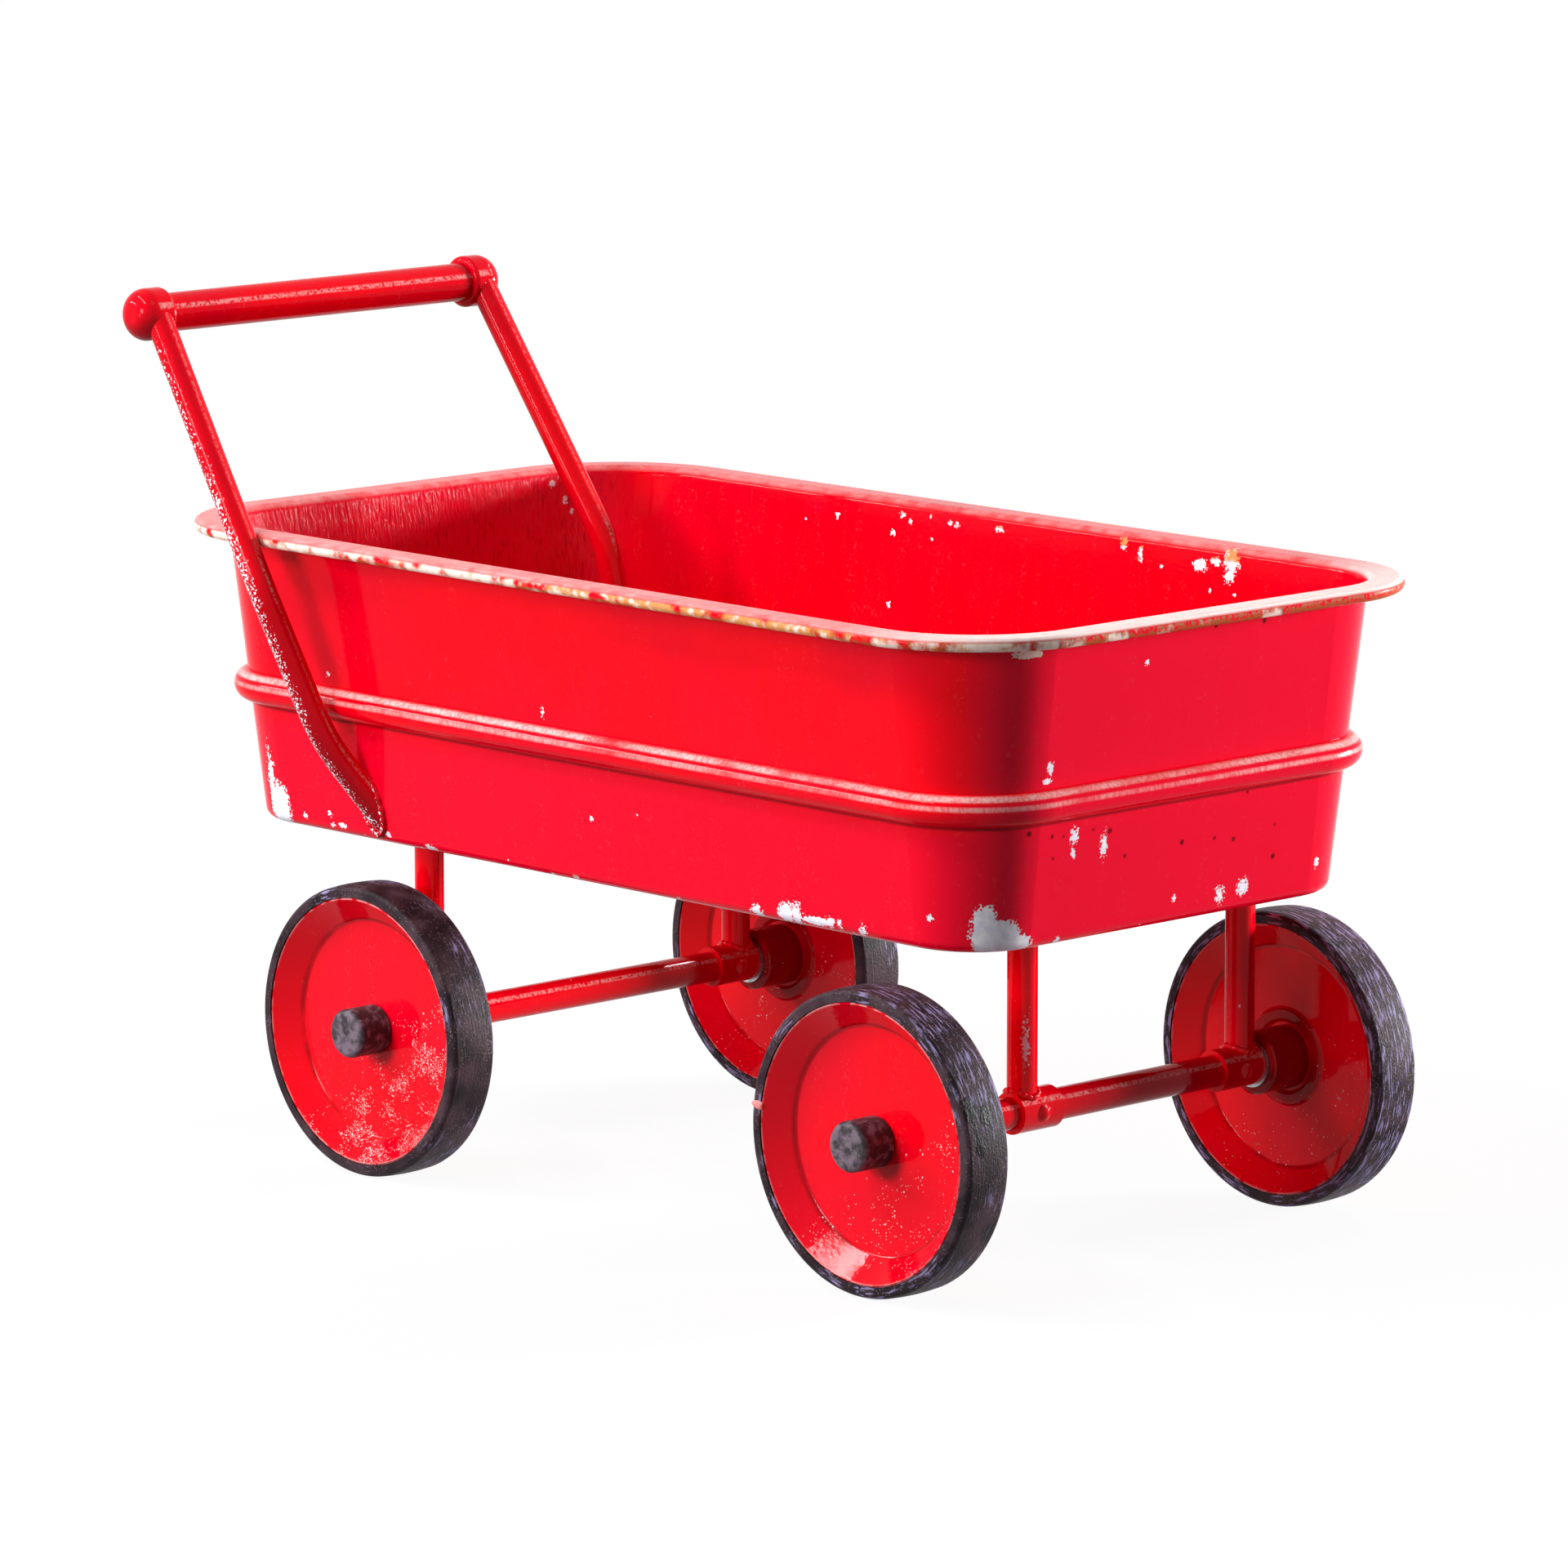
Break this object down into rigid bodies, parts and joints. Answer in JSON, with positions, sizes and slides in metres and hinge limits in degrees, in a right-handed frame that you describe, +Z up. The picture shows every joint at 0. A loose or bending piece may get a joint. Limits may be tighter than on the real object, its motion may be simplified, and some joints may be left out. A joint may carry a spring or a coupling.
{
  "type": "toy wagon",
  "caption": "Child's pressed-steel wagon: tapered tub with wired rim and bead, disc wheels with solid tyres on fixed axles, and a fixed tube handle with a cross grip.",
  "frame": {"origin": "on the ground under the middle of the tub", "axes": "+X along the tub from the handle end to the front, +Y to the wagon's left side, +Z up"},
  "size_m": [0.6098, 0.3602, 0.4445],
  "materials": {
    "red_enamel": "worn gloss enamel",
    "tyre_rubber": "scuffed solid rubber",
    "black_cap": "worn matt black",
    "bare_steel": "plain steel",
    "nylon_bush": "natural nylon"
  },
  "bodies": {
    "wagon": {"tub": "red_enamel", "front_axle_tube": "red_enamel", "rear_axle_tube": "red_enamel", "collar_pins": "red_enamel", "leg_plate_rivets": "red_enamel", "handle_arm_right": "red_enamel", "handle_arm_left": "red_enamel", "handle_grip": "red_enamel", "handle_cap_right": "red_enamel", "handle_cap_left": "red_enamel", "handle_foot_plate": "red_enamel", "handle_foot_rivets": "red_enamel", "leg_front_left": "red_enamel", "leg_front_right": "red_enamel", "leg_rear_left": "red_enamel", "leg_rear_right": "red_enamel", "leg_plate_front_left": "red_enamel", "leg_plate_front_right": "red_enamel", "leg_plate_rear_left": "red_enamel", "leg_plate_rear_right": "red_enamel", "axle_collar_front_left": "red_enamel", "axle_collar_front_right": "red_enamel", "axle_collar_rear_left": "red_enamel", "axle_collar_rear_right": "red_enamel", "rim_wire": "bare_steel", "front_axle_rod": "bare_steel", "rear_axle_rod": "bare_steel", "axle_washers": "bare_steel", "push_nuts": "bare_steel", "axle_cap_front_left": "black_cap", "axle_cap_front_right": "black_cap", "axle_cap_rear_left": "black_cap", "axle_cap_rear_right": "black_cap"},
    "wheel_front_left": {"tyre_front_left": "tyre_rubber", "wheel_disc_outer_front_left": "red_enamel", "wheel_disc_inner_front_left": "red_enamel", "wheel_hub_front_left": "red_enamel", "wheel_bush_front_left": "nylon_bush"},
    "wheel_front_right": {"tyre_front_right": "tyre_rubber", "wheel_disc_outer_front_right": "red_enamel", "wheel_disc_inner_front_right": "red_enamel", "wheel_hub_front_right": "red_enamel", "wheel_bush_front_right": "nylon_bush"},
    "wheel_rear_left": {"tyre_rear_left": "tyre_rubber", "wheel_disc_outer_rear_left": "red_enamel", "wheel_disc_inner_rear_left": "red_enamel", "wheel_hub_rear_left": "red_enamel", "wheel_bush_rear_left": "nylon_bush"},
    "wheel_rear_right": {"tyre_rear_right": "tyre_rubber", "wheel_disc_outer_rear_right": "red_enamel", "wheel_disc_inner_rear_right": "red_enamel", "wheel_hub_rear_right": "red_enamel", "wheel_bush_rear_right": "nylon_bush"}
  },
  "joints": [
    {"name": "wheel_front_left_spin", "type": "hinge", "parent": "wagon", "child": "wheel_front_left", "pos_m": [0.2146, 0.1425, 0.075], "axis": [0, 1, 0], "continuous": true},
    {"name": "wheel_front_right_spin", "type": "hinge", "parent": "wagon", "child": "wheel_front_right", "pos_m": [0.2146, -0.1425, 0.075], "axis": [0, 1, 0], "continuous": true},
    {"name": "wheel_rear_left_spin", "type": "hinge", "parent": "wagon", "child": "wheel_rear_left", "pos_m": [-0.15, 0.1425, 0.075], "axis": [0, 1, 0], "continuous": true},
    {"name": "wheel_rear_right_spin", "type": "hinge", "parent": "wagon", "child": "wheel_rear_right", "pos_m": [-0.15, -0.1425, 0.075], "axis": [0, 1, 0], "continuous": true}
  ]
}
